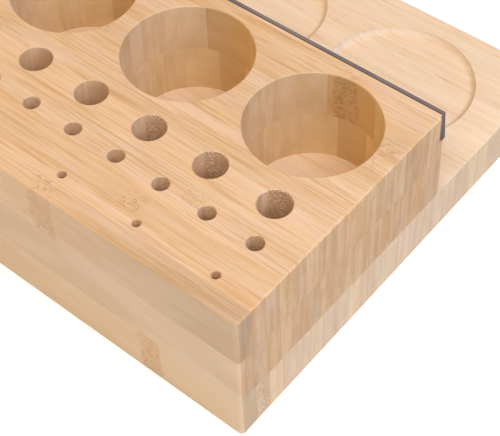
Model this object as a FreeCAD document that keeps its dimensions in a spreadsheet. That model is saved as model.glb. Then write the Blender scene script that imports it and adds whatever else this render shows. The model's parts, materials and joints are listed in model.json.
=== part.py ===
import FreeCAD, Part
import os
import Sketcher

# Fly tying tool caddy of laminated bamboo, in millimetres.
#
# Three boards are glued face to face. The lowest carries the whole caddy and runs out
# behind the other two as a low shelf. Each board is itself glued up from long staves that
# lie side by side across the depth. The glued blank is machined as one: its edges are
# eased, four rows of round holes are bored down through the two upper boards, three
# shallow round recesses are sunk in the shelf, and a rabbet along the top of the back
# face takes a flat magnetic strip.
#
# Frame: X along the length, Y from the front face to the back, Z up. The origin is at
# the middle of the underside.


# Driving dimensions
# A row's place is the distance of its centres from the front face. Its first place is the
# distance of the first centre from the right-hand end, and the pitch runs on to the left
# for as long as the end wall stays whole.
SIZES = [
    # The boards
    ("length", 244.0),
    ("depth", 198.0),
    ("board", 22.0),
    ("block_depth", 116.4),
    # The staves of each board: how many, and the width that planing left of the rearmost
    ("base_count", 26),
    ("base_last", 7.5),
    ("middle_count", 16),
    ("middle_last", 8.4),
    ("top_count", 17),
    ("top_last", 2.8),
    # Sanded edges
    ("corner_round", 1.8),
    ("edge_round", 1.0),
    ("mouth_ease", 0.3),
    # The least wood between a hole and the left-hand end
    ("end_wall", 7.0),
    # Cups for bottles and spools
    ("cup_bore", 50.8),
    ("cup_row", 83.5),
    ("cup_first", 34.4),
    ("cup_pitch", 58.75),
    # Holes for scissors and hackle pliers
    ("medium_bore", 12.6),
    ("medium_row", 46.2),
    ("medium_first", 21.7),
    ("medium_pitch", 28.45),
    # Holes for bobbin holders and threaders
    ("small_bore", 6.35),
    ("small_row", 29.2),
    ("small_first", 16.3),
    ("small_pitch", 20.85),
    # Holes for needles
    ("fine_bore", 3.3),
    ("fine_row", 11.3),
    ("fine_first", 18.1),
    ("fine_pitch", 34.75),
    # Round recesses in the shelf
    ("recess_bore", 63.5),
    ("recess_depth", 2.0),
    ("recess_cove", 3.0),
    ("recess_row", 156.5),
    ("recess_first", 46.8),
    ("recess_pitch", 75.4),
    # Rabbet and magnetic strip along the back of the block
    ("rabbet_depth", 1.6),
    ("rabbet_drop", 13.2),
    ("strip_width", 12.7),
    ("strip_thickness", 2.1),
    ("strip_short", 0.6),
    ("strip_proud", 0.3),
    ("strip_ease", 0.2),
]

# How far a cutting tool reaches past the wood that it cuts
RUN_OUT = 5.0

# How closely the staves' volumes add up to the blank's, as a share of it
VOLUME_TOLERANCE = 1e-6

# What a sketch dimension holds until its expression sets it
UNSET = 1.0

HOLE_ROWS = ["cup", "medium", "small", "fine"]

# Places that many pieces share
FRONT = "-sizes.depth / 2"
BLOCK_REAR = FRONT + " + sizes.block_depth"
RIGHT = "sizes.length / 2"
LEFT = "-" + RIGHT
SHELF = "sizes.board"
TOP = "3 * sizes.board"

doc = FreeCAD.newDocument("tool_caddy")
sheet = doc.addObject("Spreadsheet::Sheet", "sizes")
for row, (alias, value) in enumerate(SIZES, start=1):
    cell = "A" + str(row)
    sheet.set(cell, str(value))
    sheet.setAlias(cell, alias)
doc.recompute()


def size(alias):
    """The value of one named cell of the sheet."""
    return float(sheet.get(alias))


def bind(obj, **expressions):
    """Ties properties of an object to the sheet."""
    for name, expression in expressions.items():
        obj.setExpression(name, expression)


def place(obj, x, y, z):
    """Ties the position of an object to the sheet."""
    obj.setExpression("Placement.Base.x", x)
    obj.setExpression("Placement.Base.y", y)
    obj.setExpression("Placement.Base.z", z)


def box(name, length, width, height, corner):
    """A box from its lowest corner, all as expressions."""
    obj = doc.addObject("Part::Box", name)
    bind(obj, Length=length, Width=width, Height=height)
    place(obj, *corner)
    return obj


def union(name, shapes):
    """One shape made of several, with the flush faces between them merged."""
    obj = doc.addObject("Part::MultiFuse", name)
    obj.Shapes = shapes
    obj.Refine = True
    return obj


def difference(name, base, tool):
    """What is left of one shape when another is cut from it."""
    obj = doc.addObject("Part::Cut", name)
    obj.Base = base
    obj.Tool = tool
    return obj


def rounded(name, base, radius_of_edge):
    """A shape with its edges rounded. radius_of_edge gives the radius, or 0 to leave an edge."""
    doc.recompute()
    obj = doc.addObject("Part::Fillet", name)
    obj.Base = base
    edges = []
    for number, edge in enumerate(base.Shape.Edges, start=1):
        radius = radius_of_edge(edge)
        if radius > 0:
            edges.append((number, radius, radius))
    obj.Edges = edges
    return obj


# The glued blank
def is_upright(edge):
    """True for an edge that runs along Z."""
    bounds = edge.BoundBox
    return bounds.ZLength > max(bounds.XLength, bounds.YLength)


def from_front(edge):
    """How far the middle of an edge is from the front face."""
    return edge.BoundBox.Center.y + size("depth") / 2


def corner_radius(edge):
    """The upright corners. The block's rear ones are rounded less than the others."""
    if not is_upright(edge):
        return 0
    at_block_rear = abs(from_front(edge) - size("block_depth")) < size("corner_round")
    return size("edge_round") if at_block_rear else size("corner_round")


def rim_radius(edge):
    """The level edges, eased all round but for the inner corner where the shelf meets the block."""
    if is_upright(edge):
        return 0
    at_shelf = abs(edge.BoundBox.Center.z - size("board")) < size("edge_round")
    beside_block = from_front(edge) < size("block_depth") + size("edge_round")
    return 0 if at_shelf and beside_block else size("edge_round")


def glued_blank():
    """The base board with the block of the two upper boards on it, and all edges sanded."""
    base = box("base_blank", "sizes.length", "sizes.depth", "sizes.board", (LEFT, FRONT, "0"))
    block = box("block_blank", "sizes.length", "sizes.block_depth", "2 * sizes.board", (LEFT, FRONT, SHELF))
    blank = union("blank", [base, block])
    cornered = rounded("cornered_blank", blank, corner_radius)
    return rounded("eased_blank", cornered, rim_radius)


# Cutting tools
def row_count(row):
    """How many holes a row takes before it meets the end wall."""
    reach = size("length") - size(row + "_first") - size(row + "_bore") / 2 - size("end_wall")
    return int(reach / size(row + "_pitch")) + 1


def hole_tools(row, number):
    """A bore of one row, down to the base board, and the ease of its mouth."""
    x = RIGHT + " - sizes.{0}_first - {1} * sizes.{0}_pitch".format(row, number)
    y = FRONT + " + sizes.{0}_row".format(row)
    radius = "sizes.{0}_bore / 2".format(row)
    label = "{0}_{1:02d}".format(row, number + 1)
    bore = doc.addObject("Part::Cylinder", label + "_bore")
    bind(bore, Radius=radius, Height="2 * sizes.board + {0}".format(RUN_OUT))
    place(bore, x, y, SHELF)
    mouth = doc.addObject("Part::Cone", label + "_mouth")
    bind(mouth, Radius1=radius, Radius2=radius + " + sizes.mouth_ease", Height="sizes.mouth_ease")
    place(mouth, x, y, TOP + " - sizes.mouth_ease")
    return [bore, mouth]


def cove_radius(edge):
    """Only the lowest edge of a recess's cutter is rounded."""
    is_lowest = edge.BoundBox.ZMax < size("board")
    return size("recess_cove") if is_lowest else 0


def recess_tool(number):
    """A round cutter whose coved lower edge meets the shelf at the recess's rim."""
    x = RIGHT + " - sizes.recess_first - {0} * sizes.recess_pitch".format(number)
    y = FRONT + " + sizes.recess_row"
    cove_reach = "sqrt(sizes.recess_cove^2 - (sizes.recess_cove - sizes.recess_depth)^2)"
    radius = "sizes.recess_bore / 2 + sizes.recess_cove - " + cove_reach
    label = "recess_{0:02d}_cutter".format(number + 1)
    cutter = doc.addObject("Part::Cylinder", label)
    bind(cutter, Radius=radius, Height="sizes.recess_depth + {0}".format(RUN_OUT))
    place(cutter, x, y, SHELF + " - sizes.recess_depth")
    return rounded(label + "_coved", cutter, cove_radius)


def rabbet_tool():
    """The step along the block's upper rear edge."""
    return box(
        "rabbet_cutter",
        "sizes.length + {0}".format(2 * RUN_OUT),
        "sizes.rabbet_depth + {0}".format(RUN_OUT),
        "sizes.rabbet_drop + {0}".format(RUN_OUT),
        (
            LEFT + " - {0}".format(RUN_OUT),
            BLOCK_REAR + " - sizes.rabbet_depth",
            TOP + " - sizes.rabbet_drop",
        ),
    )


def cutters():
    """All that is bored, sunk or milled out of the blank, as one shape."""
    tools = [rabbet_tool()]
    for hole_row in HOLE_ROWS:
        for number in range(row_count(hole_row)):
            tools += hole_tools(hole_row, number)
    for number in range(row_count("recess")):
        tools.append(recess_tool(number))
    return union("cutters", tools)


# The staves of each board
def stave(machined, board, board_depth, height, number):
    """One stave of the machined blank, counted from the front. All but the last are as wide."""
    name = "{0}_stave_{1:02d}".format(board, number + 1)
    width = "(sizes.{1} - sizes.{0}_last) / (sizes.{0}_count - 1)".format(board, board_depth)
    start = "{0} * {1}".format(number, width)
    if number + 1 == size(board + "_count"):
        width = "sizes.{0}_last".format(board)
    slot_length = "sizes.length + {0}".format(2 * RUN_OUT)
    corner = (LEFT + " - {0}".format(RUN_OUT), FRONT + " + " + start, height)
    piece = doc.addObject("Part::Common", name)
    piece.Base = machined
    piece.Tool = box(name + "_slot", slot_length, width, "sizes.board", corner)
    piece.Label = name
    return piece


def all_staves():
    """Every stave, board by board from the lowest."""
    machined = difference("machined_blank", glued_blank(), cutters())
    boards = [
        ("base", "depth", "0"),
        ("middle", "block_depth", SHELF),
        ("top", "block_depth", "2 * sizes.board"),
    ]
    staves = []
    for board, board_depth, height in boards:
        for number in range(int(size(board + "_count"))):
            staves.append(stave(machined, board, board_depth, height, number))
    return machined, staves


# The magnetic strip, whose ends are cut a little out of square
def constrain(sketch, name, kind, places, expression):
    """A sketch dimension tied to the sheet."""
    index = sketch.addConstraint(Sketcher.Constraint(kind, *places, UNSET))
    sketch.renameConstraint(index, name)
    sketch.setExpression("Constraints." + name, expression)


def strip_outline(body):
    """The strip's face on the body's XZ plane, its lower edge longer than its upper one."""
    sketch = body.newObject("Sketcher::SketchObject", "strip_outline")
    plane = [feature for feature in body.Origin.OriginFeatures if feature.Role == "XZ_Plane"][0]
    sketch.AttachmentSupport = [(plane, "")]
    sketch.MapMode = "FlatFace"
    lower = size("length") / 2 + size("strip_proud")
    upper = size("length") / 2 - size("strip_short")
    width = size("strip_width")
    corners = [(-lower, 0), (lower, 0), (upper, width), (-upper, width)]
    for first, second in zip(corners, corners[1:] + corners[:1]):
        ends = [FreeCAD.Vector(x, y, 0) for x, y in (first, second)]
        sketch.addGeometry(Part.LineSegment(*ends))
    for line in range(4):
        sketch.addConstraint(Sketcher.Constraint("Coincident", line, 2, (line + 1) % 4, 1))
    sketch.addConstraint(Sketcher.Constraint("Symmetric", 0, 1, 0, 2, -1, 1))
    sketch.addConstraint(Sketcher.Constraint("Horizontal", 0))
    sketch.addConstraint(Sketcher.Constraint("Symmetric", 2, 1, 2, 2, -2))
    constrain(sketch, "lower_edge", "DistanceX", (0, 1, 0, 2), "sizes.length + 2 * sizes.strip_proud")
    constrain(sketch, "upper_edge", "DistanceX", (2, 2, 2, 1), "sizes.length - 2 * sizes.strip_short")
    constrain(sketch, "height", "DistanceY", (1, 1, 1, 2), "sizes.strip_width")
    return sketch


def magnetic_strip():
    """The flat strip that lies in the rabbet, flush with the top of the block."""
    body = doc.addObject("PartDesign::Body", "magnetic_strip")
    body.Label = "magnetic_strip"
    outline = strip_outline(body)
    pad = body.newObject("PartDesign::Pad", "strip_pad")
    pad.Profile = outline
    pad.Reversed = True
    bind(pad, Length="sizes.strip_thickness")
    doc.recompute()
    outer_edges = []
    for number, edge in enumerate(pad.Shape.Edges, start=1):
        if edge.BoundBox.YMin > size("strip_thickness") / 2:
            outer_edges.append("Edge" + str(number))
    ease = body.newObject("PartDesign::Fillet", "strip_ease")
    ease.Base = (pad, outer_edges)
    bind(ease, Radius="sizes.strip_ease")
    body.Tip = ease
    place(body, "0", BLOCK_REAR + " - sizes.rabbet_depth", TOP + " - sizes.strip_width")
    return body


# Every object is sound before anything is written
def check_objects(pieces):
    """Stops on an object that failed, or a piece whose shape is empty or broken."""
    for obj in doc.Objects:
        bad = {"Invalid", "Error"} & set(obj.State)
        if bad:
            raise RuntimeError("{0} is {1}".format(obj.Label, sorted(bad)))
    for piece in pieces:
        shape = piece.Shape
        if shape.isNull() or not shape.isValid() or not shape.Solids:
            raise RuntimeError(piece.Label + " has no sound shape")


def check_volumes(machined, staves):
    """Stops where the staves together aren't the machined blank."""
    whole = machined.Shape.Volume
    together = sum(piece.Shape.Volume for piece in staves)
    if abs(together - whole) > VOLUME_TOLERANCE * whole:
        raise RuntimeError("the staves don't add up to the blank")


machined_blank, stave_pieces = all_staves()
all_pieces = stave_pieces + [magnetic_strip()]
doc.recompute()
check_objects(all_pieces)
check_volumes(machined_blank, stave_pieces)

os.makedirs("parts", exist_ok=True)
for piece in all_pieces:
    piece.Shape.exportStep("parts/" + piece.Label + ".step")
    print(piece.Label, len(piece.Shape.Solids), round(piece.Shape.Volume, 1))
print(len(all_pieces), "pieces")
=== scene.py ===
"""Fly tying tool caddy of laminated bamboo: its looks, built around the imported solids.

Every stave is modelled again with finer edges and bores, in the place of its solid, and
each has a finish of its own: fibre bundles along the grain, pores where it is cut across,
knuckles where the cane had a node, and glue lines at its neighbours.
"""

from __future__ import annotations

import json
import logging
import math
import random
from dataclasses import dataclass, field
from enum import Enum

import bmesh
import bpy
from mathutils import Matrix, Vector

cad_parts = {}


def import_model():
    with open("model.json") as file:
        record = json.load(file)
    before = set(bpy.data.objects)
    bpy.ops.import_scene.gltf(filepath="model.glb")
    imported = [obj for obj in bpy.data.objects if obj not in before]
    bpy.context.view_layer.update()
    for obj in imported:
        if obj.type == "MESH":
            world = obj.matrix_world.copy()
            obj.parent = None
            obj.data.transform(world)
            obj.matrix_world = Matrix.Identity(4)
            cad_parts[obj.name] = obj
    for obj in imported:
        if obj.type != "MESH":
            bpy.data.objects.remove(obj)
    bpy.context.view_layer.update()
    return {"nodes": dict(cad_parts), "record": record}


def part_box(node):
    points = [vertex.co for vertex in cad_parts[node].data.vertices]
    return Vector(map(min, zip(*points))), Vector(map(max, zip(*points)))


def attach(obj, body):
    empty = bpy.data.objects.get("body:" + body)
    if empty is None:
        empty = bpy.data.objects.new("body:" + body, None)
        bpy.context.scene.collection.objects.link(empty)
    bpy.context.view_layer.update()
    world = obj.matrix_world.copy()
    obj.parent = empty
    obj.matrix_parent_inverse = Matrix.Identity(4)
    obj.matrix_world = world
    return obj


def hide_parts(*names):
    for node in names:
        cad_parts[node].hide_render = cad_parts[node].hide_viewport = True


log = logging.getLogger("caddy")

MM = 0.001
NEAR = 0.01 * MM
BORE_MARK = "bore"
BORE_ROWS = ("cup", "medium", "small", "fine")

Colour = tuple[float, float, float, float]
Bores = dict[str, list[tuple[Vector, float]]]
PLAIN: Colour = (1.0, 1.0, 1.0, 1.0)


class Board(Enum):
    """The three boards, from the lowest."""

    BASE = "base"
    MIDDLE = "middle"
    TOP = "top"


# Mesh helpers


def link(name: str, mesh: bpy.types.Mesh) -> bpy.types.Object:
    """Puts a mesh in the scene.

    Args:
        name: The new object's name.
        mesh: Its mesh.

    Returns:
        The object, at the origin.
    """
    piece = bpy.data.objects.new(name, mesh)
    bpy.context.scene.collection.objects.link(piece)
    return piece


def to_object(bm: bmesh.types.BMesh, name: str) -> bpy.types.Object:
    """Turns a bmesh into an object and frees it.

    Args:
        bm: The bmesh.
        name: The object's name.

    Returns:
        The new object.
    """
    mesh = bpy.data.meshes.new(name)
    bm.to_mesh(mesh)
    bm.free()
    return link(name, mesh)


def discard(piece: bpy.types.Object) -> None:
    """Removes a helper object and its mesh."""
    mesh = piece.data
    bpy.data.objects.remove(piece)
    bpy.data.meshes.remove(mesh)


def settle(piece: bpy.types.Object) -> None:
    """Applies a piece's modifiers to its mesh.

    Args:
        piece: The object to settle.
    """
    graph = bpy.context.evaluated_depsgraph_get()
    old = piece.data
    piece.data = bpy.data.meshes.new_from_object(piece.evaluated_get(graph))
    piece.data.name = piece.name
    piece.modifiers.clear()
    bpy.data.meshes.remove(old)


def shade(piece: bpy.types.Object, sharp_from: float) -> None:
    """Shades a piece smooth, but for its sharp edges, with flat faces kept flat.

    Args:
        piece: The object.
        sharp_from: The angle between two faces, in degrees, from which their edge is sharp.
    """
    bm = bmesh.new()
    bm.from_mesh(piece.data)
    for face in bm.faces:
        face.smooth = True
    for edge in bm.edges:
        edge.smooth = edge.is_manifold and edge.calc_face_angle() < math.radians(sharp_from)
    bm.to_mesh(piece.data)
    bm.free()
    weighted = piece.modifiers.new("weighted_normals", "WEIGHTED_NORMAL")
    weighted.keep_sharp = True
    settle(piece)


def turned(profile: list[tuple[float, float]], centre: Vector, steps: int) -> bmesh.types.BMesh:
    """Spins a profile about an upright axis.

    Args:
        profile: Radius and height of each point, from the axis and back to it.
        centre: The foot of the axis.
        steps: How many steps a full turn takes.

    Returns:
        The closed solid.
    """
    bm = bmesh.new()
    points = [bm.verts.new((radius, 0.0, height)) for radius, height in profile]
    edges = [bm.edges.new(pair) for pair in zip(points, points[1:])]
    bmesh.ops.spin(
        bm, geom=points + edges, cent=(0, 0, 0), axis=(0, 0, 1), angle=math.tau, steps=steps, use_merge=True
    )
    bmesh.ops.remove_doubles(bm, verts=bm.verts, dist=0.001 * MM)
    bmesh.ops.recalc_face_normals(bm, faces=bm.faces)
    bmesh.ops.translate(bm, verts=bm.verts, vec=centre)
    return bm


def gather(solids: list[bmesh.types.BMesh], name: str) -> bpy.types.Object:
    """Joins solids that don't overlap into one object.

    Args:
        solids: The solids, which are freed.
        name: The object's name.

    Returns:
        The object, hidden in renders.
    """
    whole = bmesh.new()
    for solid in solids:
        mesh = bpy.data.meshes.new("part")
        solid.to_mesh(mesh)
        solid.free()
        whole.from_mesh(mesh)
        bpy.data.meshes.remove(mesh)
    piece = to_object(whole, name)
    piece.hide_render = True
    return piece


# The machined blank


@dataclass
class Blank:
    """The block and shelf as glued up, before the staves are told apart.

    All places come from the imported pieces. The rounds are the sanded edges.
    """

    corner_round: float = 1.8 * MM
    edge_round: float = 1.0 * MM
    corner_steps: int = 6
    edge_steps: int = 4

    def __post_init__(self) -> None:
        """Reads the boards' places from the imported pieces."""
        low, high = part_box("base_stave_01")
        self.right, self.shelf, self.front = high.x, high.z, low.y
        self.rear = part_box("base_stave_26")[1].y
        self.block_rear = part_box("middle_stave_16")[1].y
        self.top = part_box("top_stave_01")[1].z

    def solid(self) -> bmesh.types.BMesh:
        """Builds the stepped blank with its edges sanded.

        Returns:
            The closed solid.
        """
        bm = bmesh.new()
        outline = [
            (self.front, 0.0),
            (self.rear, 0.0),
            (self.rear, self.shelf),
            (self.block_rear, self.shelf),
            (self.block_rear, self.top),
            (self.front, self.top),
        ]
        end = bm.faces.new([bm.verts.new((-self.right, y, z)) for y, z in outline])
        grown = bmesh.ops.extrude_face_region(bm, geom=[end])
        moved = [item for item in grown["geom"] if isinstance(item, bmesh.types.BMVert)]
        bmesh.ops.translate(bm, verts=moved, vec=(2 * self.right, 0, 0))
        bmesh.ops.recalc_face_normals(bm, faces=bm.faces)
        uprights = [edge for edge in bm.edges if self.is_upright(edge)]
        inner = [edge for edge in uprights if abs(edge.verts[0].co.y - self.block_rear) < self.edge_round]
        outer = [edge for edge in uprights if edge not in inner]
        self.round_off(bm, outer, self.corner_round, self.corner_steps)
        inner = [edge for edge in bm.edges if self.is_upright(edge) and self.at_block_rear(edge)]
        self.round_off(bm, inner, self.edge_round, self.edge_steps)
        self.round_off(bm, [edge for edge in bm.edges if self.is_rim(edge)], self.edge_round, self.edge_steps)
        return bm

    @staticmethod
    def is_upright(edge: bmesh.types.BMEdge) -> bool:
        """True for an edge along Z."""
        run = edge.verts[0].co - edge.verts[1].co
        return abs(run.z) > max(abs(run.x), abs(run.y))

    def at_block_rear(self, edge: bmesh.types.BMEdge) -> bool:
        """True for an edge in the plane of the block's rear face."""
        return all(abs(vert.co.y - self.block_rear) < NEAR for vert in edge.verts)

    def is_rim(self, edge: bmesh.types.BMEdge) -> bool:
        """True for a level, convex edge that isn't yet rounded."""
        return not self.is_upright(edge) and edge.calc_face_angle_signed() > math.radians(60)

    @staticmethod
    def round_off(bm: bmesh.types.BMesh, edges: list[bmesh.types.BMEdge], radius: float, steps: int) -> None:
        """Rounds edges.

        Args:
            bm: The solid.
            edges: Its edges to round.
            radius: The round's radius.
            steps: How many faces go round it.
        """
        bmesh.ops.bevel(
            bm, geom=edges, offset=radius, offset_type="OFFSET", segments=steps, profile=0.5,
            affect="EDGES", clamp_overlap=False, material=-1,
        )


@dataclass
class Cutters:
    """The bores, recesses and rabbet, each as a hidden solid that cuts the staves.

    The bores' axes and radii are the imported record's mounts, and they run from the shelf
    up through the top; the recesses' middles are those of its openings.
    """

    record: dict
    mouth_ease: float = 0.3 * MM
    run_out: float = 5.0 * MM
    recess_radius: float = 31.75 * MM
    recess_depth: float = 2.0 * MM
    recess_cove: float = 3.0 * MM
    rabbet_depth: float = 1.6 * MM
    rabbet_drop: float = 13.2 * MM
    steps: dict[str, int] = field(
        default_factory=lambda: {"cup": 128, "medium": 64, "small": 48, "fine": 32, "recess": 128}
    )
    cove_steps: int = 8

    def bores(self, row: str) -> list[dict]:
        """The record's bores of one row."""
        return [mount for mount in self.record["mounts"] if mount["name"].startswith(row)]

    def rings(self) -> Bores:
        """The axis and radius of every bore, by row."""
        return {
            row: [(Vector(mount["pos_m"]), mount["dims"]["r_mm"] * MM) for mount in self.bores(row)]
            for row in BORE_ROWS
        }

    def row_cutter(self, row: str, blank: Blank) -> bpy.types.Object:
        """Makes the cutter of one row of holes.

        Args:
            row: The row's name.
            blank: The blank that it cuts.

        Returns:
            One object for the whole row.
        """
        solids = []
        for mount in self.bores(row):
            radius = mount["dims"]["r_mm"] * MM
            x, y, _ = mount["pos_m"]
            wide = radius + self.mouth_ease
            profile = [
                (0.0, blank.shelf),
                (radius, blank.shelf),
                (radius, blank.top - self.mouth_ease),
                (wide, blank.top),
                (wide, blank.top + self.run_out),
                (0.0, blank.top + self.run_out),
            ]
            solids.append(turned(profile, Vector((x, y, 0)), self.steps[row]))
        return gather(solids, row + "_cutter")

    def recess_cutter(self, blank: Blank) -> bpy.types.Object:
        """Makes the cutter of the shelf's round recesses, whose lower rim is a cove.

        Args:
            blank: The blank that it cuts.

        Returns:
            One object for all recesses.
        """
        rise = self.recess_cove - self.recess_depth
        floor = self.recess_radius - math.sqrt(self.recess_cove**2 - rise**2)
        low = blank.shelf - self.recess_depth
        arc = []
        for step in range(self.cove_steps + 1):
            angle = math.pi / 2 * step / self.cove_steps
            across = floor + self.recess_cove * math.sin(angle)
            arc.append((across, low + self.recess_cove * (1 - math.cos(angle))))
        high = blank.shelf + self.run_out
        profile = [(0.0, low)] + arc + [(floor + self.recess_cove, high), (0.0, high)]
        solids = []
        for opening in self.record["physics"]["openings"]:
            corners = [Vector(corner) for corner in opening["box_m"]]
            middle = (corners[0] + corners[1]) / 2
            solids.append(turned(profile, Vector((middle.x, middle.y, 0)), self.steps["recess"]))
        return gather(solids, "recess_cutter")

    def rabbet_cutter(self, blank: Blank) -> bpy.types.Object:
        """Makes the cutter of the rabbet that takes the magnetic strip.

        Args:
            blank: The blank that it cuts.

        Returns:
            The cutter.
        """
        past = self.run_out
        low = Vector((-blank.right - past, blank.block_rear - self.rabbet_depth, blank.top - self.rabbet_drop))
        high = Vector((blank.right + past, blank.block_rear + past, blank.top + past))
        bm = bmesh.new()
        bmesh.ops.create_cube(bm, size=1.0)
        bmesh.ops.scale(bm, verts=bm.verts, vec=high - low)
        bmesh.ops.translate(bm, verts=bm.verts, vec=(low + high) / 2)
        return gather([bm], "rabbet_cutter")

    def all(self, blank: Blank) -> dict[str, bpy.types.Object]:
        """Makes every cutter.

        Args:
            blank: The blank that they cut.

        Returns:
            The cutters by name.
        """
        made = {row: self.row_cutter(row, blank) for row in BORE_ROWS}
        made["recess"] = self.recess_cutter(blank)
        made["rabbet"] = self.rabbet_cutter(blank)
        return made


# Node helpers


class Graph:
    """Adds nodes to a node tree and joins them, in few words."""

    def __init__(self, tree: bpy.types.NodeTree) -> None:
        """Keeps the tree."""
        self.tree = tree

    def node(self, kind: str, **settings: object) -> bpy.types.Node:
        """Adds a node.

        Args:
            kind: The node's type, without its ShaderNode prefix.
            **settings: Its properties.

        Returns:
            The node.
        """
        made = self.tree.nodes.new("ShaderNode" + kind)
        for name, value in settings.items():
            setattr(made, name, value)
        return made

    def feed(self, socket: bpy.types.NodeSocket, value: object) -> None:
        """Joins a socket to another, or sets its value.

        Args:
            socket: An input socket.
            value: An output socket, a number or a tuple.
        """
        if isinstance(value, bpy.types.NodeSocket):
            self.tree.links.new(value, socket)
        else:
            socket.default_value = value

    def math(self, operation: str, *values: object, clamp: bool = False) -> bpy.types.NodeSocket:
        """One step of arithmetic.

        Args:
            operation: The Math node's operation.
            *values: Its inputs, sockets or numbers.
            clamp: Whether the result is held between 0 and 1.

        Returns:
            The result.
        """
        made = self.node("Math", operation=operation, use_clamp=clamp)
        for socket, value in zip(made.inputs, values):
            self.feed(socket, value)
        return made.outputs[0]

    def times(self, first: object, *others: object) -> bpy.types.NodeSocket:
        """Multiplies sockets or numbers.

        Args:
            first: The first of them.
            *others: The rest.

        Returns:
            Their product.
        """
        for other in others:
            first = self.math("MULTIPLY", first, other)
        return first

    def vector(self, operation: str, *values: object) -> bpy.types.NodeSocket:
        """One step of vector arithmetic.

        Args:
            operation: The Vector Math node's operation.
            *values: Its inputs, sockets or tuples.

        Returns:
            The vector that comes out.
        """
        made = self.node("VectorMath", operation=operation)
        for socket, value in zip(made.inputs, values):
            self.feed(socket, value)
        return made.outputs[0]

    def parts(self, vector: bpy.types.NodeSocket) -> list[bpy.types.NodeSocket]:
        """Splits a vector.

        Args:
            vector: The vector.

        Returns:
            Its X, Y and Z.
        """
        made = self.node("SeparateXYZ")
        self.feed(made.inputs[0], vector)
        return list(made.outputs)

    def spread(
        self, value: object, low: float, high: float, to_low: object = 0.0, to_high: object = 1.0
    ) -> bpy.types.NodeSocket:
        """Maps one range smoothly to another.

        Args:
            value: What is mapped.
            low: The value that gives to_low.
            high: The value that gives to_high.
            to_low: The result at low.
            to_high: The result at high.

        Returns:
            The mapped value.
        """
        made = self.node("MapRange", interpolation_type="SMOOTHSTEP")
        for socket, given in zip(made.inputs, (value, low, high, to_low, to_high)):
            self.feed(socket, given)
        return made.outputs[0]

    def mix(self, share: object, first: object, second: object) -> bpy.types.NodeSocket:
        """Mixes two numbers.

        Args:
            share: How much of the second is taken.
            first: A number.
            second: Another number.

        Returns:
            The mixed number.
        """
        made = self.node("Mix")
        for socket, value in zip(made.inputs[:1] + made.inputs[2:4], (share, first, second)):
            self.feed(socket, value)
        return made.outputs[0]

    def blend(self, share: object, first: object, second: object, how: str = "MIX") -> bpy.types.NodeSocket:
        """Mixes two colours.

        Args:
            share: How much of the second is taken.
            first: A colour.
            second: Another colour.
            how: The blend type.

        Returns:
            The mixed colour.
        """
        made = self.node("Mix", data_type="RGBA", blend_type=how)
        self.feed(made.inputs[0], share)
        self.feed(made.inputs[6], first)
        self.feed(made.inputs[7], second)
        return made.outputs[2]

    def noise(
        self, place: bpy.types.NodeSocket, stretch: tuple[float, float, float], detail: float = 2.0, rough: float = 0.5
    ) -> bpy.types.Node:
        """Adds a noise texture.

        Args:
            place: Where it is read.
            stretch: How fast it changes along each axis.
            detail: How many octaves it has.
            rough: How strong the fine octaves are.

        Returns:
            The texture node.
        """
        made = self.node("TexNoise")
        self.feed(made.inputs["Vector"], self.vector("MULTIPLY", place, stretch))
        for label, value in (("Scale", 1.0), ("Detail", detail), ("Roughness", rough)):
            made.inputs[label].default_value = value
        return made

    def clouds(
        self,
        place: bpy.types.NodeSocket,
        stretch: tuple[float, float, float],
        low: float,
        high: float,
        detail: float = 2.0,
        rough: float = 0.5,
    ) -> bpy.types.NodeSocket:
        """Adds noise, and spreads it from 0 to 1.

        Args:
            place: Where it is read.
            stretch: How fast it changes along each axis.
            low: The noise that gives 0.
            high: The noise that gives 1.
            detail: How many octaves it has.
            rough: How strong the fine octaves are.

        Returns:
            The spread noise.
        """
        return self.spread(self.noise(place, stretch, detail, rough).outputs["Fac"], low, high)

    def cells(self, place: bpy.types.NodeSocket, scale: float) -> bpy.types.NodeSocket:
        """Adds a texture of cells.

        Args:
            place: Where it is read.
            scale: Its scale.

        Returns:
            How far each point is from its cell's middle.
        """
        made = self.node("TexVoronoi", voronoi_dimensions="3D", feature="F1")
        self.feed(made.inputs["Vector"], place)
        made.inputs["Scale"].default_value = scale
        return made.outputs["Distance"]


def new_group(name: str, inputs: dict[str, str], outputs: dict[str, str]) -> bpy.types.NodeTree:
    """Makes an empty node group with its sockets.

    Args:
        name: The group's name.
        inputs: Each input's socket type.
        outputs: Each output's socket type.

    Returns:
        The group's tree.
    """
    tree = bpy.data.node_groups.new(name, "ShaderNodeTree")
    for way, sockets in (("INPUT", inputs), ("OUTPUT", outputs)):
        for label, kind in sockets.items():
            tree.interface.new_socket(label, in_out=way, socket_type="NodeSocket" + kind)
    return tree


# Finishes


class EndGrain(Enum):
    """How the cut end of a stave is tinted, as a factor on its colour."""

    LIGHT = (0.86, 0.85, 0.80, 1.0)
    GREY = (0.79, 0.79, 0.78, 1.0)
    PINK = (0.80, 0.77, 0.74, 1.0)
    TAN = (0.83, 0.80, 0.71, 1.0)
    ORANGE = (0.82, 0.75, 0.64, 1.0)
    BROWN = (0.76, 0.71, 0.64, 1.0)


@dataclass(frozen=True)
class StaveLook:
    """What sets one stave apart from the next.

    The knuckle is where the cane had a node, and its place is along X. What has a value here
    is set one by one, on the few staves that need it.
    """

    tone: float
    warmth: float
    seed: float
    skin_side: float
    contrast: float
    knuckle: float
    knuckle_strength: float
    knuckle_reach: float
    knuckle_tint: float
    pores: float
    end: EndGrain
    knuckle_top: float = 1.0
    fade: float = 0.0
    pores_from: float = -1.0
    bore_warmth: float = 0.0
    # A cooler tint painted on the stave's front and rear faces, for the side light on them
    painted_side_light_tint: Colour = PLAIN
    strip_gap_wall: float = -1.0
    strip_gap_foot: float = 0.0


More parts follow.
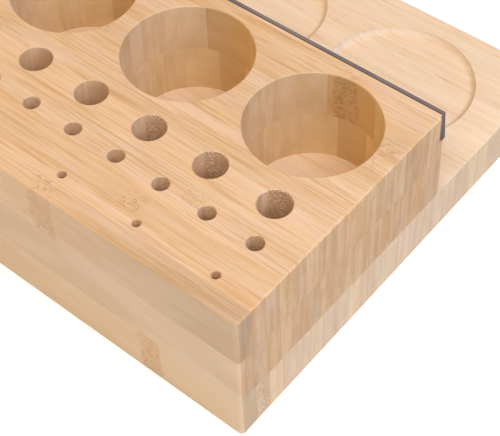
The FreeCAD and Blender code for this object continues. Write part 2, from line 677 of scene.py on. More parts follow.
@dataclass(frozen=True)
class BambooFinish:
    """Sanded bamboo with a clear satin oil, on staves that stand on edge.

    The glow is painted bounce light: the golden side of a cup, which its face's direction finds.
    """

    pale: Colour = (0.885, 0.603, 0.372, 1.0)
    honey: Colour = (0.720, 0.415, 0.195, 1.0)
    fibre: Colour = (0.450, 0.205, 0.070, 1.0)
    # Pressed-out adhesive; the same dark brown paints the shadow in the gap at the strip
    adhesive: Colour = (0.130, 0.078, 0.058, 1.0)
    blush: Colour = (0.900, 0.670, 0.520, 1.0)
    # Cooler, greyer light painted on the cup walls and, next line, on the narrower bores
    painted_cup_light_tint: Colour = (0.92, 1.01, 1.03, 1.0)
    painted_bore_light_tint: Colour = (0.95, 1.00, 1.08, 1.0)
    dot_tint: Colour = (1.22, 1.25, 1.31, 1.0)
    gap_tint: Colour = (0.82, 0.81, 0.80, 1.0)
    # Painted bounce light: a warm, lighter tint on the cup walls that face the way below
    painted_bounce_tint: Colour = (1.15, 1.09, 0.89, 1.0)
    painted_bounce_side: tuple[float, float, float] = (-0.8, -0.6, 0.0)
    # Oil soaked into the rounded edges; on the base board, painted shade over the recess coves and edges
    edge_oil_and_shade_tint: Colour = (1.00, 0.97, 0.90, 1.0)
    fine_lines: float = 0.24
    streaks: float = 0.22
    embers: float = 0.40
    roughness: float = 0.48
    gloss: float = 0.35
    relief: float = 0.25
    relief_depth: float = 0.10 * MM

    def material(
        self, name: str, pattern: bpy.types.NodeTree, look: StaveLook, low: Vector, high: Vector
    ) -> bpy.types.Material:
        """Dresses the pattern as one stave's material.

        Args:
            name: The material's name.
            pattern: The shared pattern.
            look: What sets this stave apart.
            low: The stave's lowest corner.
            high: Its highest corner.

        Returns:
            The material.
        """
        made = bpy.data.materials.new(name)
        made.use_nodes = True
        graph = Graph(made.node_tree)
        shader = made.node_tree.nodes["Principled BSDF"]
        where = graph.node("TexCoord")
        group = graph.node("Group")
        group.node_tree = pattern
        mark = graph.node("Attribute", attribute_name=BORE_MARK)
        graph.feed(group.inputs["Place"], where.outputs["Object"])
        graph.feed(group.inputs["Facing"], where.outputs["Normal"])
        graph.feed(group.inputs["Bore"], mark.outputs["Fac"])
        values = {
            "Seed": look.seed,
            "Tone": look.tone,
            "Warmth": look.warmth,
            "Contrast": look.contrast,
            "Skin Side": look.skin_side,
            "Front": low.y / MM,
            "Width": (high.y - low.y) / MM,
            "Floor": low.z / MM,
            "Knuckle": look.knuckle / MM,
            "Knuckle Strength": look.knuckle_strength,
            "Knuckle Reach": look.knuckle_reach / MM,
            "Knuckle Tint": look.knuckle_tint,
            "Knuckle Top": look.knuckle_top,
            "Fade": look.fade,
            "Pores": look.pores,
            "Pores From": look.pores_from / MM,
            "Bore Warmth": look.bore_warmth,
            "Fine Lines": self.fine_lines,
            "Streaks": self.streaks,
            "Edge Oil And Shade Tint": self.edge_oil_and_shade_tint,
            "Painted Cup Light Tint": self.painted_cup_light_tint,
            "Painted Side Light Tint": look.painted_side_light_tint,
            "Blush": self.blush,
            "Embers": self.embers,
            "Strip Gap Wall": look.strip_gap_wall / MM,
            "Strip Gap Foot": look.strip_gap_foot / MM,
            "Pale": self.pale,
            "Honey": self.honey,
            "End Tint": look.end.value,
        }
        for label, value in values.items():
            group.inputs[label].default_value = value
        bump = graph.node("Bump")
        bump.inputs["Strength"].default_value = self.relief
        bump.inputs["Distance"].default_value = self.relief_depth
        graph.feed(bump.inputs["Height"], group.outputs["Height"])
        graph.feed(shader.inputs["Base Color"], group.outputs["Color"])
        graph.feed(shader.inputs["Roughness"], group.outputs["Roughness"])
        graph.feed(shader.inputs["Normal"], bump.outputs["Normal"])
        shader.inputs["Specular IOR Level"].default_value = self.gloss
        return made


class BambooPattern:
    """The pattern that every stave shares: a node group, whose lengths are in millimetres.

    Each step keeps, on the object, the sockets that later steps read.
    """

    HALF_LENGTH = 122.0
    HALF_BOARD = 11.0
    NUMBERS = (
        "Seed", "Tone", "Fade", "Warmth", "Contrast", "Skin Side", "Front", "Width", "Floor", "Knuckle",
        "Knuckle Strength", "Knuckle Reach", "Knuckle Tint", "Knuckle Top", "Pores", "Pores From", "Bore",
        "Bore Warmth", "Fine Lines", "Streaks", "Embers", "Strip Gap Wall", "Strip Gap Foot",
    )
    COLOURS = ("Pale", "Honey", "Blush", "Edge Oil And Shade Tint", "Painted Cup Light Tint", "Painted Side Light Tint", "End Tint")

    def __init__(self, finish: BambooFinish) -> None:
        """Builds the group.

        Args:
            finish: The colours and the roughness that all boards share.
        """
        inputs = {"Place": "Vector", "Facing": "Vector"}
        inputs.update({label: "Float" for label in self.NUMBERS})
        inputs.update({label: "Color" for label in self.COLOURS})
        outputs = {"Color": "Color", "Roughness": "Float", "Height": "Float"}
        self.finish = finish
        self.tree = new_group("bamboo_pattern", inputs, outputs)
        self.graph = Graph(self.tree)
        self.given = self.tree.nodes.new("NodeGroupInput").outputs
        self.measure()
        self.bend_fibres()
        self.lay_fibres()
        colour = self.cane()
        for step in (self.darken, self.tint_cuts, self.draw_seams, self.draw_glue_and_gap_shade, self.tint_sides):
            colour = step(colour)
        self.put_out(colour)

    def measure(self) -> None:
        """Measures where a point lies in its stave, and which way its face looks."""
        graph, given = self.graph, self.given
        place = graph.vector("SCALE", given["Place"])
        place.node.inputs["Scale"].default_value = 1 / MM
        self.along, self.across, self.up = graph.parts(place)
        shift = graph.node("CombineXYZ")
        for socket, step in zip(shift.inputs, (91.7, 13.3, 7.7)):
            graph.feed(socket, graph.times(given["Seed"], step))
        self.seeded = graph.vector("ADD", place, shift.outputs[0])
        # From the stave's front to its rear, and from the cane's inner side to its skin side
        inset = graph.math("SUBTRACT", self.across, given["Front"])
        self.share = graph.math("DIVIDE", inset, given["Width"], clamp=True)
        self.skin = graph.mix(given["Skin Side"], self.share, graph.math("SUBTRACT", 1.0, self.share))
        # How far the face looks along the grain, sideways and up
        self.cut, self.sideways, self.upwards = graph.parts(graph.vector("ABSOLUTE", given["Facing"]))
        self.quiet = graph.spread(self.sideways, 0.3, 0.9, 1.0, 0.35)
        self.drilled = graph.spread(given["Bore"], 0.1, 0.4)
        self.cup = graph.spread(given["Bore"], 0.6, 0.9)

    def bend_fibres(self) -> None:
        """Finds the knuckle, with ragged edges. Fibres drift a little, and twist there."""
        graph, given = self.graph, self.given
        wobble = graph.noise(self.seeded, (0.22, 0.22, 0.22), 3.0)
        offset = graph.times(graph.math("SUBTRACT", wobble.outputs["Fac"], 0.5), 8.0)
        gap = graph.math("ADD", graph.math("SUBTRACT", self.along, given["Knuckle"]), offset)
        inside = graph.math("SUBTRACT", given["Knuckle Reach"], graph.math("ABSOLUTE", gap))
        self.knuckle = graph.times(graph.spread(inside, -0.6, 0.9), given["Knuckle Strength"])
        swings = []
        for stretch, detail, reach in (
            ((0.02, 0.12, 0.12), 1.0, (0.0, 1.6, 1.6)),
            ((0.22, 0.40, 0.40), 2.0, (2.0, 7.0, 7.0)),
        ):
            noise = graph.noise(self.seeded, stretch, detail).outputs["Color"]
            swings.append(graph.vector("MULTIPLY", graph.vector("SUBTRACT", noise, (0.5, 0.5, 0.5)), reach))
        twist = graph.vector("SCALE", swings[1])
        graph.feed(twist.node.inputs["Scale"], self.knuckle)
        self.warped = graph.vector("ADD", graph.vector("ADD", self.seeded, swings[0]), twist)
        marks = graph.times(graph.clouds(self.warped, (0.40, 1.1, 0.9), 0.50, 0.60, 3.0, 0.65), self.knuckle)
        missing = graph.math("SUBTRACT", given["Knuckle Top"], 1.0)
        self.marks = graph.times(marks, graph.math("MULTIPLY_ADD", missing, self.upwards, 1.0))

    def lay_fibres(self) -> None:
        """Lays the fibre bundles: long thin cells, which are dots where the stave is cut across."""
        graph = self.graph
        self.cells = graph.cells(graph.vector("MULTIPLY", self.warped, (0.07, 1.25, 1.25)), 1.0)
        crowd = graph.spread(self.skin, 0.0, 1.0, 0.30, 0.52)
        bundle = graph.math("SUBTRACT", 1.0, graph.math("DIVIDE", self.cells, crowd), clamp=True)
        patchy = graph.noise(self.seeded, (0.04, 0.35, 0.35)).outputs["Fac"]
        self.bundle = graph.times(bundle, graph.spread(patchy, 0.35, 0.65, 0.15, 1.0))
        self.hair = graph.noise(self.warped, (0.035, 1.8, 0.6), 2.0, 0.55).outputs["Fac"]

    def cane(self) -> bpy.types.NodeSocket:
        """Colours the cane from pale to honey, in growth streaks and warm patches.

        Returns:
            The colour.
        """
        graph, given = self.graph, self.given
        # Upright bands on the ends, lines along the grain elsewhere
        streak = graph.clouds(self.warped, (0.014, 0.75, 0.08), 0.33, 0.67, 3.0, 0.65)
        ribbon = graph.clouds(self.seeded, (0.01, 0.40, 0.03), 0.35, 0.65)
        bands = graph.mix(graph.spread(self.cut, 0.2, 0.9), streak, ribbon)
        lines = graph.times(bands, graph.spread(self.cut, 0.2, 0.9, given["Streaks"], 0.55))
        lines = graph.math("MULTIPLY_ADD", graph.spread(self.hair, 0.35, 0.65), 0.12, lines)
        calm = graph.times(self.quiet, graph.math("MULTIPLY_ADD", self.cup, -0.55, 1.0))
        broad = graph.clouds(self.seeded, (0.022, 0.16, 0.08), 0.35, 0.65)
        ember = graph.times(graph.clouds(self.seeded, (0.02, 0.38, 0.30), 0.57, 0.71, 1.0), self.upwards)
        honey = graph.math("MULTIPLY_ADD", lines, calm, graph.times(broad, 0.34))
        honey = graph.math("MULTIPLY_ADD", ember, given["Embers"], honey)
        honey = graph.math("ADD", honey, given["Warmth"])
        honey = graph.math("MULTIPLY_ADD", self.drilled, given["Bore Warmth"], honey)
        on_side = graph.spread(self.upwards, 0.3, 0.9, 1.0, 0.0)
        flat = graph.times(self.knuckle, on_side, given["Knuckle Tint"])
        colour = graph.blend(graph.math("ADD", honey, flat, clamp=True), given["Pale"], given["Honey"])
        rosy = graph.clouds(self.seeded, (0.018, 0.26, 0.26), 0.48, 0.66)
        return graph.blend(graph.times(rosy, 0.35, self.upwards), colour, given["Blush"])

    def darken(self, colour: bpy.types.NodeSocket) -> bpy.types.NodeSocket:
        """Darkens fibres along the grain, pores in cut faces and the marks of a knuckle.

        Args:
            colour: The colour so far.

        Returns:
            The new colour.
        """
        graph, given = self.graph, self.given
        thin = graph.spread(self.hair, 0.53, 0.63)
        dashes = graph.math("MULTIPLY_ADD", thin, given["Fine Lines"], graph.times(self.bundle, 0.3))
        dashes = graph.times(dashes, self.quiet, given["Contrast"])
        pores = graph.times(graph.spread(self.cells, 0.22, 0.46, 0.62, 0.0), given["Pores"])
        whole = graph.math("SUBTRACT", 1.0, self.drilled)
        pores = graph.times(pores, whole, graph.math("LESS_THAN", given["Pores From"], 0.0))
        across = graph.math("MAXIMUM", graph.spread(self.cut, 0.3, 0.7), self.drilled)
        marks = graph.times(self.marks, graph.math("MULTIPLY_ADD", self.cup, 0.25, 0.42))
        dark = graph.math("ADD", graph.mix(across, dashes, pores), marks, clamp=True)
        return graph.blend(dark, colour, self.finish.fibre)

    def tint_cuts(self, colour: bpy.types.NodeSocket) -> bpy.types.NodeSocket:
        """Tints cut ends and bores, paints cooler light in the bores and warm bounce light on one side of each cup,
        and dots the narrow bores of some staves.

        Args:
            colour: The colour so far.

        Returns:
            The new colour.
        """
        graph, given, finish = self.graph, self.given, self.finish
        tint = graph.blend(graph.spread(self.cut, 0.85, 0.97), PLAIN, given["End Tint"])
        # Painted light: the narrower bores and the cups take a cooler, greyer tint for the light inside them
        tint = graph.blend(self.drilled, tint, finish.painted_bore_light_tint)
        tint = graph.blend(self.cup, tint, given["Painted Cup Light Tint"])
        colour = graph.blend(1.0, colour, tint, "MULTIPLY")
        # Painted bounce light: cup walls that face one way are made warmer and lighter, as if lit by light thrown back
        # from the far wall
        lit = graph.vector("DOT_PRODUCT", given["Facing"], finish.painted_bounce_side).node.outputs["Value"]
        lit = graph.times(graph.spread(lit, 0.35, 0.9), self.cup)
        colour = graph.blend(lit, colour, finish.painted_bounce_tint, "MULTIPLY")
        begins = graph.spread(graph.math("SUBTRACT", self.along, given["Pores From"]), -2.0, 2.0)
        pierced = graph.times(graph.math("SUBTRACT", self.drilled, self.cup), graph.times(begins, given["Pores"]))
        gaps = graph.spread(graph.cells(self.seeded, 1.3), 0.30, 0.52)
        dots = graph.blend(gaps, finish.dot_tint, finish.gap_tint)
        return graph.blend(pierced, colour, dots, "MULTIPLY")

    def draw_seams(self, colour: bpy.types.NodeSocket) -> bpy.types.NodeSocket:
        """Draws the glue lines, where a face crosses them.

        Args:
            colour: The colour so far.

        Returns:
            The new colour.
        """
        graph, given = self.graph, self.given
        beside = graph.times(graph.math("PINGPONG", self.share, 0.5), given["Width"])
        level = graph.math("PINGPONG", graph.math("SUBTRACT", self.up, given["Floor"]), self.HALF_BOARD)
        lines = []
        for distance, along_normal in ((beside, self.sideways), (level, self.upwards)):
            crossed = graph.spread(along_normal, 0.3, 0.8, 1.0, 0.0)
            lines.append(graph.times(graph.spread(distance, 0.05, 0.22, 1.0, 0.0), crossed))
        strength = graph.spread(self.cut, 0.2, 0.9, 0.09, 0.32)
        fainter = graph.math("MULTIPLY_ADD", self.cup, -0.7, 1.0)
        self.seam = graph.times(graph.math("MAXIMUM", *lines), strength, fainter)
        return graph.blend(self.seam, colour, self.finish.fibre)

    def draw_glue_and_gap_shade(self, colour: bpy.types.NodeSocket) -> bpy.types.NodeSocket:
        """Darkens the ends beside the strip: adhesive that was pressed out there, and a painted shadow in the gap at
        the strip.

        Args:
            colour: The colour so far.

        Returns:
            The new colour.
        """
        graph, given = self.graph, self.given
        # Pressed-out adhesive and a painted shadow in the gap: a dark band on the end faces beside the strip
        beyond = graph.math("ABSOLUTE", graph.math("SUBTRACT", self.across, given["Strip Gap Wall"]))
        above = graph.math("SUBTRACT", self.up, given["Strip Gap Foot"])
        glue_and_gap_shade = graph.times(graph.spread(beyond, 1.15, 1.50, 0.92, 0.0), graph.spread(self.cut, 0.3, 0.7))
        glue_and_gap_shade = graph.times(glue_and_gap_shade, graph.spread(above, -0.2, 0.1))
        return graph.blend(glue_and_gap_shade, colour, self.finish.adhesive)

    def tint_sides(self, colour: bpy.types.NodeSocket) -> bpy.types.NodeSocket:
        """Paints cooler side light on the board's front, tints its rounded edges for oil and painted shade, and gives
        the stave its tone.

        Args:
            colour: The colour so far.

        Returns:
            The new colour.
        """
        graph, given = self.graph, self.given
        whole = graph.math("SUBTRACT", 1.0, self.drilled)
        # Painted side light: the front and rear faces take a cooler tint for the light that falls on them from the
        # side
        side = graph.times(graph.spread(self.sideways, 0.75, 0.97), whole)
        colour = graph.blend(side, colour, given["Painted Side Light Tint"], "MULTIPLY")
        # Rounded edges and coves: a warmer tint for oil in the block's edges, and on the base a greyer painted shade
        # over the recess coves
        slope = graph.times(graph.spread(self.upwards, 0.15, 0.45), graph.spread(self.upwards, 0.90, 0.999, 1.0, 0.0))
        colour = graph.blend(slope, colour, given["Edge Oil And Shade Tint"], "MULTIPLY")
        toned = graph.node("HueSaturation")
        rightwards = graph.spread(self.along, 0.0, self.HALF_LENGTH)
        graph.feed(toned.inputs["Value"], graph.math("MULTIPLY_ADD", rightwards, given["Fade"], given["Tone"]))
        graph.feed(toned.inputs["Color"], colour)
        return toned.outputs["Color"]

    def put_out(self, colour: bpy.types.NodeSocket) -> None:
        """Feeds the group's outputs.

        Args:
            colour: The finished colour.
        """
        graph = self.graph
        rough = graph.math("ADD", self.finish.roughness, graph.times(self.bundle, 0.15))
        sunk = graph.math("ADD", self.bundle, graph.times(self.seam, 3.0))
        height = graph.math("SUBTRACT", graph.math("SUBTRACT", 0.0, sunk), graph.times(self.marks, 3.0))
        taken = self.tree.nodes.new("NodeGroupOutput").inputs
        for label, value in (("Color", colour), ("Roughness", rough), ("Height", height)):
            graph.feed(taken[label], value)


@dataclass(frozen=True)
class MagnetFinish:
    """Flexible magnetic strip: rolled dark rubber on a thin warmer film of adhesive."""

    rubber: Colour = (0.165, 0.130, 0.135, 1.0)
    worn: Colour = (0.250, 0.212, 0.190, 1.0)
    cut_end: Colour = (0.140, 0.105, 0.118, 1.0)
    film: Colour = (0.120, 0.065, 0.045, 1.0)
    film_thickness: float = 0.55 * MM
    roughness: float = 0.70
    relief: float = 0.3
    relief_depth: float = 0.05 * MM

    def material(self, name: str, inner_face: float) -> bpy.types.Material:
        """Makes the strip's material.

        Args:
            name: The material's name.
            inner_face: Where along Y the strip meets the wood.

        Returns:
            The material.
        """
        made = bpy.data.materials.new(name)
        made.use_nodes = True
        graph = Graph(made.node_tree)
        shader = made.node_tree.nodes["Principled BSDF"]
        where = graph.node("TexCoord").outputs
        grain = graph.noise(where["Object"], (60.0, 900.0, 900.0), 3.0, 0.6).outputs["Fac"]
        cloud = graph.noise(where["Object"], (40.0, 90.0, 90.0)).outputs["Fac"]
        share = graph.math("ADD", graph.times(grain, 0.6), graph.times(cloud, 0.4))
        colour = graph.blend(graph.spread(share, 0.35, 0.65), self.rubber, self.worn)
        cut = graph.parts(graph.vector("ABSOLUTE", where["Normal"]))[0]
        colour = graph.blend(graph.spread(cut, 0.5, 0.9), colour, self.cut_end)
        depth = graph.math("SUBTRACT", graph.parts(where["Object"])[1], inner_face)
        film = graph.spread(depth, self.film_thickness * 0.8, self.film_thickness * 1.2, 1.0, 0.0)
        colour = graph.blend(film, colour, self.film)
        bump = graph.node("Bump")
        bump.inputs["Strength"].default_value = self.relief
        bump.inputs["Distance"].default_value = self.relief_depth
        graph.feed(bump.inputs["Height"], grain)
        graph.feed(shader.inputs["Base Color"], colour)
        graph.feed(shader.inputs["Roughness"], graph.math("ADD", self.roughness, graph.times(share, 0.1)))
        graph.feed(shader.inputs["Normal"], bump.outputs["Normal"])
        return made


# Sub-assemblies


def mark_bores(piece: bpy.types.Object, bores: Bores) -> None:
    """Marks the faces that line a bore, for the material: 1 in a cup, 0.5 in a narrower hole.

    Args:
        piece: The stave, after its holes are cut.
        bores: Each row's axes and radii.
    """
    mark = piece.data.attributes.new(BORE_MARK, "FLOAT", "FACE")
    for face in piece.data.polygons:
        if abs(face.normal.z) > 0.9:
            continue
        for row, rings in bores.items():
            for axis, radius in rings:
                away = math.hypot(face.center.x - axis.x, face.center.y - axis.y)
                if abs(away - radius) < 0.5 * MM:
                    mark.data[face.index].value = 1.0 if row == "cup" else 0.5


@dataclass
class StaveBoard:
    """One board, glued up from staves that lie side by side."""

    board: Board
    count: int
    slot: str
    finish: BambooFinish
    tone_spread: float = 0.03
    warmth_spread: float = 0.08
    sharp_from: float = 32.0
    looks: dict[int, dict[str, object]] = field(default_factory=dict)
    ends: dict[int, EndGrain] = field(default_factory=dict)

    def name(self, number: int) -> str:
        """The node of one stave."""
        return f"{self.board.value}_stave_{number:02d}"

    def look(self, number: int, chance: random.Random) -> StaveLook:
        """Chooses a stave's looks: drawn at random, but for what is listed.

        Args:
            number: The stave's number, from the front.
            chance: The source of what is drawn.

        Returns:
            The looks.
        """
        drawn = {
            "tone": 1 + chance.uniform(-1, 1) * self.tone_spread,
            "warmth": chance.uniform(-1, 1) * self.warmth_spread,
            "seed": chance.uniform(0, 100),
            "skin_side": float(chance.random() < 0.5),
            "contrast": chance.uniform(0.4, 1.4),
            "knuckle": chance.uniform(-110, 110) * MM,
            "knuckle_strength": chance.choice((0.0, 0.0, 0.5)),
            "knuckle_reach": chance.uniform(3.5, 5.5) * MM,
            "knuckle_tint": 0.1,
            "pores": chance.uniform(0.0, 0.2),
            "end": self.ends.get(number, EndGrain.LIGHT),
        }
        drawn.update(self.looks.get(number, {}))
        return StaveLook(**drawn)

    def cut_stave(self, number: int, solid: bmesh.types.BMesh) -> bpy.types.Object:
        """Takes one stave out of the blank.

        Args:
            number: The stave's number.
            solid: The whole blank.

        Returns:
            The stave, before its holes.
        """
        low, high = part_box(self.name(number))
        bm = solid.copy()
        limits = [
            ((0, low.y, 0), (0, -1, 0)),
            ((0, high.y, 0), (0, 1, 0)),
            ((0, 0, low.z), (0, 0, -1)),
            ((0, 0, high.z), (0, 0, 1)),
        ]
        for point, normal in limits:
            geom = bm.verts[:] + bm.edges[:] + bm.faces[:]
            bmesh.ops.bisect_plane(bm, geom=geom, plane_co=point, plane_no=normal, clear_outer=True, dist=0.0005 * MM)
            rim = [edge for edge in bm.edges if edge.is_boundary]
            bmesh.ops.holes_fill(bm, edges=rim, sides=0)
        bmesh.ops.recalc_face_normals(bm, faces=bm.faces)
        return to_object(bm, self.name(number) + "_wood")

    def cutter_for(self, number: int, blank: Blank, cutters: dict[str, bpy.types.Object]) -> bpy.types.Object | None:
        """Finds the cutter that reaches a stave.

        Args:
            number: The stave's number.
            blank: The blank's sizes.
            cutters: All cutters by name.

        Returns:
            The cutter, or None where the stave is whole.
        """
        low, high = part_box(self.name(number))
        rows = ("recess",) if self.board is Board.BASE else BORE_ROWS
        for row in rows:
            reach = [vert.co.y for vert in cutters[row].data.vertices]
            if min(reach) < high.y - NEAR and max(reach) > low.y + NEAR:
                return cutters[row]
        if self.board is Board.TOP and high.y > blank.block_rear - NEAR:
            return cutters["rabbet"]
        return None

    def build(
        self,
        blank: Blank,
        solid: bmesh.types.BMesh,
        cutters: dict[str, bpy.types.Object],
        bores: Bores,
        pattern: bpy.types.NodeTree,
        chance: random.Random,
    ) -> None:
        """Builds and dresses all staves of the board.

        Args:
            blank: The blank's sizes.
            solid: The whole blank.
            cutters: All cutters by name.
            bores: Each row's axes and radii.
            pattern: The shared pattern.
            chance: The source of what is drawn.
        """
        for number in range(1, self.count + 1):
            node = self.name(number)
            piece = self.cut_stave(number, solid)
            cutter = self.cutter_for(number, blank, cutters)
            if cutter:
                cut = piece.modifiers.new("cut", "BOOLEAN")
                cut.operation = "DIFFERENCE"
                cut.solver = "EXACT"
                cut.object = cutter
                settle(piece)
            if self.board is not Board.BASE:
                mark_bores(piece, bores)
            shade(piece, self.sharp_from)
            low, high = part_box(node)
            look = self.look(number, chance)
            piece.data.materials.clear()
            piece.data.materials.append(self.finish.material(node + "_bamboo", pattern, look, low, high))
            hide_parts(node)
            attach(piece, "root")
            log.info("%s: %d faces", piece.name, len(piece.data.polygons))


def base_board() -> StaveBoard:
    """The lowest board, of bleached, paler cane.

    Returns:
        The board.
    """
    bleached = BambooFinish(
        pale=(0.980, 0.765, 0.545, 1.0), honey=(0.900, 0.600, 0.350, 1.0), blush=(0.980, 0.790, 0.610, 1.0),
        # The base's edge tint is painted shade, greying the recess coves and rounded edges
        edge_oil_and_shade_tint=(0.91, 0.96, 1.02, 1.0), fine_lines=0.03, streaks=0.16, embers=0.50,
    )
    ends = {number: EndGrain.PINK for number in range(1, 27)}
    ends.update({1: EndGrain.GREY, 2: EndGrain.BROWN, 3: EndGrain.TAN, 6: EndGrain.TAN})
    ends.update({number: EndGrain.TAN for number in (9, 12, 19, 20)})
    looks = {
        1: {
            "tone": 0.86, "warmth": 0.35, "painted_side_light_tint": (1.02, 1.03, 1.02, 1.0),
            "knuckle": 80.5 * MM, "knuckle_strength": 0.65, "knuckle_tint": 0.9,
        },
        2: {"pores": 1.2},
    }
    return StaveBoard(Board.BASE, 26, "bamboo_base", bleached, looks=looks, ends=ends)


def middle_board() -> StaveBoard:
    """The middle board.

    Returns:
        The board.
    """
    ends = {number: EndGrain.TAN for number in range(1, 17)}
    ends.update({1: EndGrain.PINK, 2: EndGrain.GREY, 3: EndGrain.ORANGE, 4: EndGrain.LIGHT, 5: EndGrain.ORANGE})
    ends.update({6: EndGrain.BROWN, 12: EndGrain.ORANGE, 13: EndGrain.BROWN, 14: EndGrain.ORANGE})
    ends.update({15: EndGrain.ORANGE, 16: EndGrain.PINK})
    looks = {
        1: {"tone": 0.98, "warmth": -0.05, "knuckle_strength": 0.0, "painted_side_light_tint": (0.93, 1.02, 1.15, 1.0)},
        16: {"knuckle_strength": 0.0, "bore_warmth": 0.4},
    }
    finish = BambooFinish(painted_cup_light_tint=(0.92, 1.01, 0.98, 1.0))
    return StaveBoard(Board.MIDDLE, 16, "bamboo_middle", finish, looks=looks, ends=ends)


def top_board() -> StaveBoard:
    """The top board, whose knuckles are seen from above.

    Returns:
        The board.
    """
    strip_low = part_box("magnetic_strip")[0]
    ends = {number: EndGrain.TAN for number in range(1, 18)}
    ends.update({1: EndGrain.GREY, 2: EndGrain.PINK, 3: EndGrain.PINK, 5: EndGrain.PINK, 6: EndGrain.LIGHT})
    ends.update({7: EndGrain.BROWN, 9: EndGrain.ORANGE, 10: EndGrain.ORANGE, 11: EndGrain.LIGHT})
    ends.update({12: EndGrain.PINK, 13: EndGrain.LIGHT, 14: EndGrain.BROWN, 15: EndGrain.BROWN})
    looks = {
        1: {
            "tone": 1.04, "fade": -0.25, "warmth": 0.02, "painted_side_light_tint": (0.98, 1.04, 1.14, 1.0),
            "knuckle": 33.5 * MM, "knuckle_strength": 0.75, "knuckle_reach": 5.5 * MM, "knuckle_tint": 0.35,
        },
        2: {"warmth": 0.12, "contrast": 1.3, "knuckle_strength": 0.0},
        3: {"knuckle": 62 * MM, "knuckle_strength": 1.0, "knuckle_reach": 4.5 * MM},
        5: {"pores": 0.6, "pores_from": 60 * MM},
        7: {"pores": 0.25, "pores_from": 60 * MM},
        8: {"pores": 1.0, "pores_from": 20 * MM},
        9: {"contrast": 1.5, "knuckle_strength": 0.0},
        10: {"contrast": 1.4, "knuckle_strength": 0.0},
        12: {"knuckle": 115 * MM, "knuckle_strength": 0.4, "knuckle_reach": 3.0 * MM},
        13: {"warmth": 0.08, "knuckle": 117 * MM, "knuckle_strength": 0.7, "knuckle_reach": 4.0 * MM},
        16: {
            "knuckle": 84 * MM, "knuckle_strength": 1.0, "knuckle_reach": 5.0 * MM, "knuckle_tint": 0.3,
            "knuckle_top": 0.0, "warmth": 0.1, "bore_warmth": 0.5,
        },
        # Stave 17 carries the adhesive and the painted gap shadow beside the strip
        17: {"strip_gap_wall": strip_low.y, "strip_gap_foot": strip_low.z, "knuckle_strength": 0.0},
    }
    return StaveBoard(Board.TOP, 17, "bamboo_top", BambooFinish(), looks=looks, ends=ends)


@dataclass(frozen=True)
class SoftLamp:
    """A square soft lamp, placed by its direction from the object, in degrees."""

    name: str
    azimuth: float
    elevation: float
    power: float
    size: float = 0.8
    distance: float = 1.2
    colour: tuple[float, float, float] = (1.0, 1.0, 1.0)


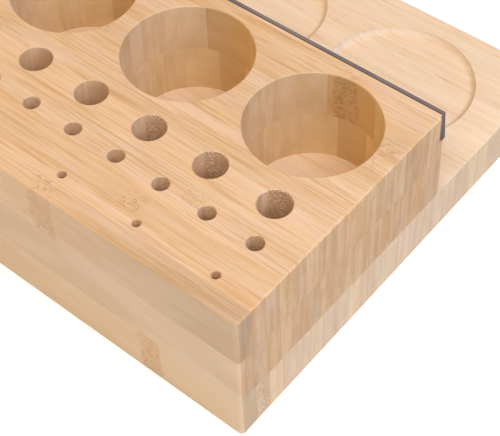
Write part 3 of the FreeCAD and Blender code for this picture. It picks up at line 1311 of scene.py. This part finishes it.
@dataclass
class Studio:
    """Pale floor, plain soft light and the camera."""

    floor_half: float = 3.0
    floor_glow: float = 0.45
    camera_place: tuple[float, float, float] = (0.29229, -0.28565, 0.42676)
    camera_turn: tuple[float, float, float] = (42.863, 1.439, 39.369)
    lens: float = 100.75
    shift_y: float = -0.1721
    sky: float = 0.08
    lamps: tuple[SoftLamp, ...] = (
        SoftLamp("key_lamp", -50, 56, 7.6, size=0.9, colour=(1.0, 0.97, 0.88)),
        SoftLamp("back_lamp", 25, 56, 4.4, colour=(0.85, 1.0, 1.32)),
        SoftLamp("end_lamp", 10, 35, 3.2, colour=(0.88, 1.0, 1.28)),
        SoftLamp("front_lamp", -75, 14, 1.7, size=0.5),
        SoftLamp("warm_lamp", 190, 50, 4.3, colour=(1.0, 0.58, 0.08)),
    )

    def floor(self) -> None:
        """Lays the floor, white to the camera but for the object's shadow."""
        bm = bmesh.new()
        bmesh.ops.create_grid(bm, x_segments=1, y_segments=1, size=self.floor_half)
        floor = to_object(bm, "floor")
        made = bpy.data.materials.new("white_floor")
        made.use_nodes = True
        graph = Graph(made.node_tree)
        shader = made.node_tree.nodes["Principled BSDF"]
        shader.inputs["Base Color"].default_value = (0.86, 0.86, 0.86, 1.0)
        shader.inputs["Roughness"].default_value = 0.9
        shader.inputs["Emission Color"].default_value = PLAIN
        seen = graph.node("LightPath").outputs["Is Camera Ray"]
        graph.feed(shader.inputs["Emission Strength"], graph.times(seen, self.floor_glow))
        floor.data.materials.append(made)

    def world(self) -> None:
        """Lights the scene evenly from all round."""
        world = bpy.data.worlds.new("soft_sky")
        bpy.context.scene.world = world
        world.use_nodes = True
        graph = Graph(world.node_tree)
        back = world.node_tree.nodes["Background"]
        back.inputs["Color"].default_value = PLAIN
        seen = graph.node("LightPath").outputs["Is Camera Ray"]
        graph.feed(back.inputs["Strength"], graph.math("ADD", self.sky, graph.times(seen, 1.0 - self.sky)))

    def hang(self, lamp: SoftLamp) -> None:
        """Hangs a square soft lamp that looks at the object.

        Args:
            lamp: The lamp.
        """
        light = bpy.data.lights.new(lamp.name, "AREA")
        light.size = lamp.size
        light.energy = lamp.power
        light.color = lamp.colour
        turn, rise = math.radians(lamp.azimuth), math.radians(lamp.elevation)
        away = Vector((math.cos(rise) * math.cos(turn), math.cos(rise) * math.sin(turn), math.sin(rise)))
        hung = bpy.data.objects.new(lamp.name, light)
        hung.location = away * lamp.distance
        hung.rotation_euler = (-away).to_track_quat("-Z", "Y").to_euler()
        bpy.context.scene.collection.objects.link(hung)

    def camera(self) -> None:
        """Sets up the camera at the photograph's viewpoint."""
        data = bpy.data.cameras.new("camera")
        data.lens = self.lens
        data.sensor_width = 36.0
        data.shift_y = self.shift_y
        data.clip_start = 0.01
        data.clip_end = 20.0
        camera = bpy.data.objects.new("camera", data)
        camera.location = self.camera_place
        camera.rotation_euler = [math.radians(angle) for angle in self.camera_turn]
        bpy.context.scene.collection.objects.link(camera)
        bpy.context.scene.camera = camera

    def build(self) -> None:
        """Sets the whole studio up."""
        self.floor()
        self.world()
        for lamp in self.lamps:
            self.hang(lamp)
        self.camera()
        bpy.context.scene.view_settings.view_transform = "Standard"


def main() -> None:
    """Loads the frame and builds the caddy and the studio."""
    logging.basicConfig(level=logging.INFO, format="%(name)s: %(message)s")
    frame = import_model()
    chance = random.Random(11)
    blank = Blank()
    solid = blank.solid()
    tools = Cutters(frame["record"])
    cutters = tools.all(blank)
    pattern = BambooPattern(BambooFinish()).tree
    for board in (base_board(), middle_board(), top_board()):
        board.build(blank, solid, cutters, tools.rings(), pattern, chance)
    solid.free()
    for cutter in cutters.values():
        discard(cutter)
    strip = frame["nodes"]["magnetic_strip"]
    inner_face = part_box("magnetic_strip")[0].y
    strip.data.materials.clear()
    strip.data.materials.append(MagnetFinish().material("magnet_rubber", inner_face))
    log.info("magnetic_strip: dressed")
    Studio().build()


if __name__ == "__main__":
    main()
